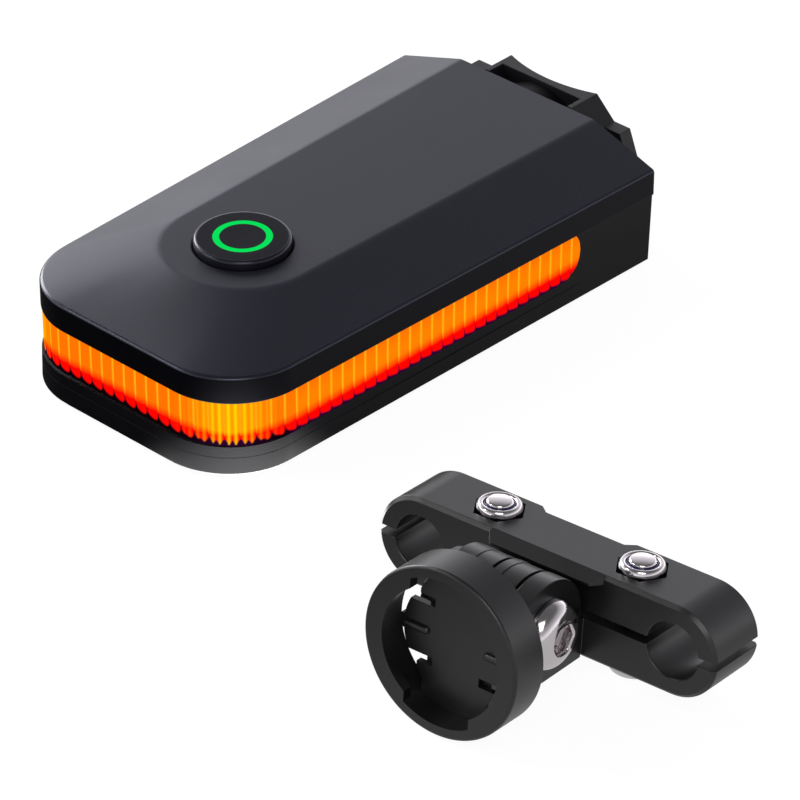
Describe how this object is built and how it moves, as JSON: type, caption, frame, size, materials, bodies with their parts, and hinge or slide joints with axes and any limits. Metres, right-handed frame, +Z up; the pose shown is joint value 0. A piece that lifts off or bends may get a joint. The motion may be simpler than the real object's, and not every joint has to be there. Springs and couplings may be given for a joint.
{
  "type": "bicycle tail light with mounts",
  "caption": "Flat rectangular bicycle tail light with an orange wrap-round fluted lens, push button and quarter-turn seat-post bracket, with a two-jaw saddle-rail clamp on a hinged socket.",
  "frame": {"origin": "middle of the light's flat underside, on the surface that the light and the clamp lie on", "axes": "+Y along the light from its front to its tail and bracket, +X to its right, +Z up through its top"},
  "size_m": [0.1404, 0.1225, 0.0266],
  "materials": {
    "cover_plastic": "fine-grained satin, dark blue-grey",
    "case_plastic": "fine-grained satin, near black",
    "lens_plastic": "fluted, clear orange, glossy",
    "seal_rubber": "matt black",
    "port_rubber": "matt black",
    "board_laminate": "green solder mask",
    "chip_plastic": "matt black",
    "strip_film": "matt white",
    "lamp_plastic": "glossy",
    "socket_steel": "plain",
    "cell_wrap": "silver grey film",
    "foam": "matt",
    "screw_steel": "plain",
    "button_plastic": "satin, near black",
    "halo_plastic": "glowing green",
    "bracket_plastic": "satin black",
    "post_rubber": "matt black",
    "clamp_plastic": "satin black",
    "bolt_steel": "polished stainless steel",
    "nylon": "blue"
  },
  "bodies": {
    "light": {"top_cover": "cover_plastic", "lower_case": "case_plastic", "lens": "lens_plastic", "case_gasket": "seal_rubber", "led_strip": "strip_film", "leds": "lamp_plastic", "main_board": "board_laminate", "board_chips": "chip_plastic", "tact_switch": "chip_plastic", "usb_socket": "socket_steel", "battery": "cell_wrap", "battery_pad": "foam", "case_screws": "screw_steel", "quarter_turn_plug": "bracket_plastic", "plug_screws": "screw_steel", "lower_jaw": "clamp_plastic", "clamp_bolts": "bolt_steel", "hinge_bolt": "bolt_steel", "hinge_nut": "bolt_steel"},
    "button": {"button_cap": "button_plastic", "button_light_ring": "halo_plastic", "button_seal": "seal_rubber"},
    "port": {"port_cover": "port_rubber"},
    "bracket": {"seatpost_bracket": "bracket_plastic", "bracket_pad": "post_rubber"},
    "jaw": {"upper_jaw": "clamp_plastic", "clamp_nuts": "bolt_steel", "nut_inserts": "nylon"},
    "arm": {"socket_arm": "clamp_plastic", "detent_plate": "clamp_plastic"}
  },
  "joints": [
    {"name": "button_press", "type": "slide", "parent": "light", "child": "button", "axis": [0, 0, -1], "range_m": [0, 0.0006], "stiffness_N_per_m": 2500, "springref_m": -0.0002},
    {"name": "port_flap", "type": "hinge", "parent": "light", "child": "port", "pos_m": [-0.02583, 0.0402, 0.0097], "axis": [0, 0, -1], "range_deg": [0, 110]},
    {"name": "bracket_turn", "type": "hinge", "parent": "light", "child": "bracket", "pos_m": [0, 0.046, 0.0112], "axis": [0, 1, 0], "range_deg": [0, 90]},
    {"name": "jaw_slide", "type": "slide", "parent": "light", "child": "jaw", "axis": [-0.0308, 0.1069, 0.9938], "range_m": [-0.0009, 0.002]},
    {"name": "arm_hinge", "type": "hinge", "parent": "light", "child": "arm", "pos_m": [0.08419, -0.05297, 0.01206], "axis": [0.9954, 0.0932, 0.0208], "range_deg": [-85, 75]}
  ]
}
